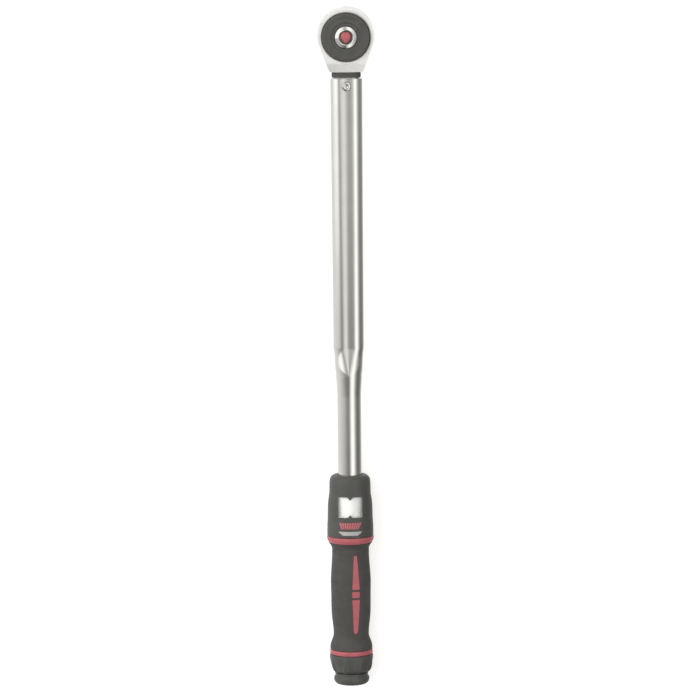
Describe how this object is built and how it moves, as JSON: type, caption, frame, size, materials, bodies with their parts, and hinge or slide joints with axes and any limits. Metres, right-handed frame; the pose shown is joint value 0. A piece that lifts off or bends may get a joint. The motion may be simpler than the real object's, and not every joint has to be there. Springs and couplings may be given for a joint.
{
  "type": "click torque wrench",
  "caption": "Click-type torque wrench: round reversible ratchet head with a male square drive, flattened steel tube, scale window in a collar, soft grip and load-setting knob.",
  "frame": {"origin": "on the drive axis, in the end face of the drive square", "axes": "+X along the tube from the head to the handle, +Z along the drive axis from the drive square to the selector dial, +Y completes a right-handed frame"},
  "size_m": [0.6021, 0.05, 0.0489],
  "materials": {
    "polished_steel": "polished",
    "satin_steel": "satin",
    "dark_steel": "oiled, dark",
    "black_plastic": "fine grain",
    "black_rubber": "soft, matt",
    "red_plastic": "fine grain",
    "white_card": "printed, matt",
    "clear_plastic": "clear",
    "grey_plastic": "matt"
  },
  "bodies": {
    "frame": {"tube": "polished_steel", "pivot_pin": "polished_steel", "collar": "black_plastic", "scale_lens": "clear_plastic", "trim_ring": "red_plastic", "grip_core": "black_plastic", "grip": "black_rubber", "inlay_top_front": "red_plastic", "inlay_top_middle": "red_plastic", "inlay_top_rear": "red_plastic", "inlay_under_front": "red_plastic", "inlay_under_middle": "red_plastic", "inlay_under_rear": "red_plastic", "marking_red": "red_plastic", "marking_grey": "grey_plastic", "rear_plug": "dark_steel", "plug_pin": "satin_steel"},
    "head": {"head_housing": "satin_steel", "mouth_seal": "black_rubber", "pawl_pin": "satin_steel", "detent_ball": "satin_steel", "detent_spring": "satin_steel"},
    "drive": {"ratchet_gear": "satin_steel", "drive_square": "satin_steel", "hub_clip": "dark_steel", "bezel_ring": "polished_steel"},
    "button": {"release_button": "black_plastic", "button_insert": "red_plastic", "button_spring": "satin_steel"},
    "ball": {"retaining_ball": "polished_steel"},
    "selector": {"selector_dial": "black_plastic", "selector_pin": "satin_steel"},
    "pawl": {"pawl": "dark_steel"},
    "plunger": {"plunger_shoe": "satin_steel", "push_rod": "satin_steel", "front_spring_seat": "dark_steel", "main_spring": "dark_steel"},
    "tilt": {"tilt_block": "satin_steel"},
    "scale": {"adjuster_nut": "satin_steel", "link_pin_left": "satin_steel", "link_pin_right": "satin_steel", "scale_sleeve": "grey_plastic", "scale_card": "white_card"},
    "knob": {"knob": "black_plastic", "knob_ring": "red_plastic", "load_screw": "satin_steel", "thrust_washer": "dark_steel", "knob_nut": "satin_steel"},
    "lock": {"lock_cap": "black_plastic", "lock_sleeve": "dark_steel"}
  },
  "joints": [
    {"name": "head_pivot", "type": "hinge", "parent": "frame", "child": "head", "pos_m": [0.043, 0, 0.028], "axis": [0, 0, 1], "range_deg": [0, 2], "stiffness_Nm_per_rad": 80, "springref_deg": -2.86},
    {"name": "drive_spin", "type": "hinge", "parent": "head", "child": "drive", "pos_m": [0, 0, 0.026], "axis": [0, 0, 1], "continuous": true},
    {"name": "button_press", "type": "slide", "parent": "drive", "child": "button", "axis": [0, 0, -1], "range_m": [0, 0.0025], "stiffness_N_per_m": 800, "springref_m": -0.002, "deforming": ["button_spring"]},
    {"name": "ball_retract", "type": "slide", "parent": "drive", "child": "ball", "axis": [0, -1, 0], "range_m": [0, 0.00091]},
    {"name": "selector_turn", "type": "hinge", "parent": "head", "child": "selector", "pos_m": [0, 0, 0.038], "axis": [0, 0, 1], "range_deg": [0, 50]},
    {"name": "pawl_rock", "type": "hinge", "parent": "head", "child": "pawl", "pos_m": [0.0232, 0, 0.026], "axis": [0, 0, 1], "range_deg": [-13.1, 0]},
    {"name": "plunger_slide", "type": "slide", "parent": "frame", "child": "plunger", "axis": [1, 0, 0], "range_m": [0, 0.00121]},
    {"name": "tilt_rock", "type": "hinge", "parent": "plunger", "child": "tilt", "pos_m": [0.168, 0, 0.028], "axis": [0, 0, 1], "range_deg": [-27.6, 0]},
    {"name": "knob_turn", "type": "hinge", "parent": "frame", "child": "knob", "pos_m": [0.55, 0, 0.028], "axis": [1, 0, 0], "range_deg": [-1080, 1080]},
    {"name": "scale_slide", "type": "slide", "parent": "frame", "child": "scale", "axis": [1, 0, 0], "range_m": [-0.00605, 0.00605], "deforming": ["main_spring"]},
    {"name": "lock_pull", "type": "slide", "parent": "knob", "child": "lock", "axis": [1, 0, 0], "range_m": [0, 0.005]}
  ],
  "couplings": [
    {"joint": "ball_retract", "follows": "button_press", "ratio": 0.36},
    {"joint": "pawl_rock", "follows": "selector_turn", "ratio": -0.26},
    {"joint": "plunger_slide", "follows": "head_pivot", "m_per_rad": 0.034377},
    {"joint": "tilt_rock", "follows": "head_pivot", "ratio": -13.75},
    {"joint": "scale_slide", "follows": "knob_turn", "m_per_rad": 0.00031831}
  ]
}
